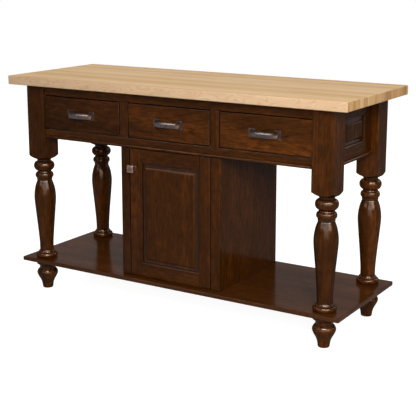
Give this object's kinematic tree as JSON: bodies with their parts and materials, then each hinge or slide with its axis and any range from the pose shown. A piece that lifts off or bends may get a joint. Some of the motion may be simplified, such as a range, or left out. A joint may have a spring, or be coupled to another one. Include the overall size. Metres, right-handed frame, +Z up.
{
  "type": "kitchen island",
  "caption": "Kitchen island with a maple butcher-block top, turned legs on a low shelf, drawers in the apron and a small raised-panel cabinet in the middle.",
  "frame": {"origin": "on the floor, under the middle of the top", "axes": "+X along the island to the right as seen from the front, -Y out of the drawer fronts, +Z up"},
  "size_m": [1.52, 0.56, 0.914],
  "materials": {
    "maple_butcher_block": "oiled edge-glued maple, satin",
    "stained_wood": "dark reddish-brown stain under semi-gloss lacquer",
    "drawer_wood": "clear satin lacquer",
    "bronze": "dark antique bronze with worn copper edges",
    "zinc_steel": "zinc plated"
  },
  "bodies": {
    "island_frame": {"butcher_block_top": "maple_butcher_block", "front_left_leg": "stained_wood", "front_left_foot": "stained_wood", "front_right_leg": "stained_wood", "front_right_foot": "stained_wood", "back_left_leg": "stained_wood", "back_left_foot": "stained_wood", "back_right_leg": "stained_wood", "back_right_foot": "stained_wood", "bottom_shelf": "stained_wood", "front_top_rail": "stained_wood", "front_bottom_rail": "stained_wood", "left_mullion": "stained_wood", "right_mullion": "stained_wood", "left_end_frame": "stained_wood", "left_end_panel": "stained_wood", "right_end_frame": "stained_wood", "right_end_panel": "stained_wood", "back_frame": "stained_wood", "back_left_panel": "stained_wood", "back_middle_panel": "stained_wood", "back_right_panel": "stained_wood", "front_bead_moulding": "stained_wood", "back_bead_moulding": "stained_wood", "right_bead_moulding": "stained_wood", "left_bead_moulding": "stained_wood", "cabinet_left_side": "stained_wood", "cabinet_left_stile": "stained_wood", "cabinet_right_side": "stained_wood", "cabinet_right_stile": "stained_wood", "cabinet_back": "stained_wood", "cabinet_shelf": "stained_wood", "left_drawer_partition": "drawer_wood", "right_drawer_partition": "drawer_wood", "left_end_runner": "drawer_wood", "right_end_runner": "drawer_wood", "lower_hinge_plate": "zinc_steel", "upper_hinge_plate": "zinc_steel", "door_catch": "zinc_steel"},
    "cabinet_door": {"door_left_stile": "stained_wood", "door_right_stile": "stained_wood", "door_bottom_rail": "stained_wood", "door_top_rail": "stained_wood", "door_panel": "stained_wood", "lower_hinge_leaf": "zinc_steel", "upper_hinge_leaf": "zinc_steel", "door_knob": "bronze"},
    "left_drawer": {"left_drawer_front": "stained_wood", "left_drawer_box": "drawer_wood", "left_drawer_bottom": "drawer_wood", "left_drawer_pull": "bronze"},
    "middle_drawer": {"middle_drawer_front": "stained_wood", "middle_drawer_box": "drawer_wood", "middle_drawer_bottom": "drawer_wood", "middle_drawer_pull": "bronze"},
    "right_drawer": {"right_drawer_front": "stained_wood", "right_drawer_box": "drawer_wood", "right_drawer_bottom": "drawer_wood", "right_drawer_pull": "bronze"}
  },
  "joints": [
    {"name": "left_drawer_slide", "type": "slide", "parent": "island_frame", "child": "left_drawer", "axis": [0, -1, 0], "range_m": [0, 0.3]},
    {"name": "middle_drawer_slide", "type": "slide", "parent": "island_frame", "child": "middle_drawer", "axis": [0, -1, 0], "range_m": [0, 0.3]},
    {"name": "right_drawer_slide", "type": "slide", "parent": "island_frame", "child": "right_drawer", "axis": [0, -1, 0], "range_m": [0, 0.3]},
    {"name": "cabinet_door_hinge", "type": "hinge", "parent": "island_frame", "child": "cabinet_door", "pos_m": [0.178, -0.218, 0.399], "axis": [0, 0, 1], "range_deg": [0, 110]}
  ]
}
